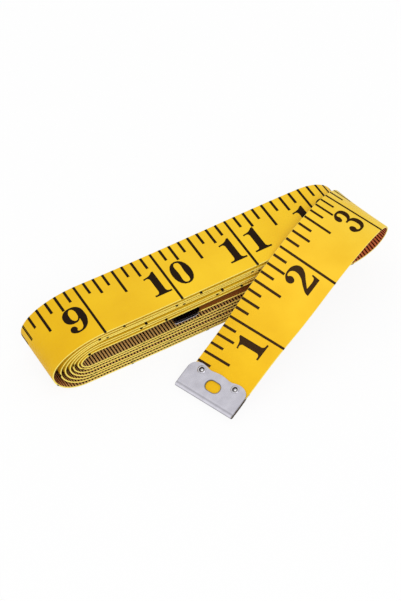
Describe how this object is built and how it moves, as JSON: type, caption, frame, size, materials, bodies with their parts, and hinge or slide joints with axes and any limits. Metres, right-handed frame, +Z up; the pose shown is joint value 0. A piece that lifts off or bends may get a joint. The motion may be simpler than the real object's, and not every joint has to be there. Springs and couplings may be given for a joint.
{
  "type": "cloth tape measure",
  "caption": "Flexible tailor's tape: a printed cloth strip wound into a flat coil, its free end brought over the coil to the table, with a riveted metal tip on each end.",
  "frame": {"origin": "middle of the underside of the coil's lowest run, on the table", "axes": "+X along the coil towards the loop of the free end, +Y towards the tick edge of the scale, +Z up"},
  "size_m": [0.1134, 0.0545, 0.0226],
  "materials": {
    "tape": "satin yellow vinyl over woven cloth, printed in black",
    "tip_metal": "tin-plated sheet steel with fine scratches",
    "rivet_metal": "plated hollow rivet, smooth"
  },
  "bodies": {
    "coil": {"tape_coil": "tape", "inner_tip": "tip_metal", "inner_rivet_back": "rivet_metal", "inner_rivet_front": "rivet_metal"},
    "lead": {"tape_lead": "tape"},
    "free_end": {"tape_end": "tape", "outer_tip": "tip_metal", "outer_rivet_back": "rivet_metal", "outer_rivet_front": "rivet_metal"}
  },
  "joints": [
    {"name": "lead_hinge", "type": "hinge", "parent": "coil", "child": "lead", "pos_m": [0.04451, -0.00957, 0.01984], "axis": [-0.4242, 0.8815, 0.2073], "range_deg": [0, 70]},
    {"name": "end_hinge", "type": "hinge", "parent": "lead", "child": "free_end", "pos_m": [0.01157, -0.0237, 0.01284], "axis": [-0.3969, 0.91, 0.1198], "range_deg": [0, 60]}
  ]
}
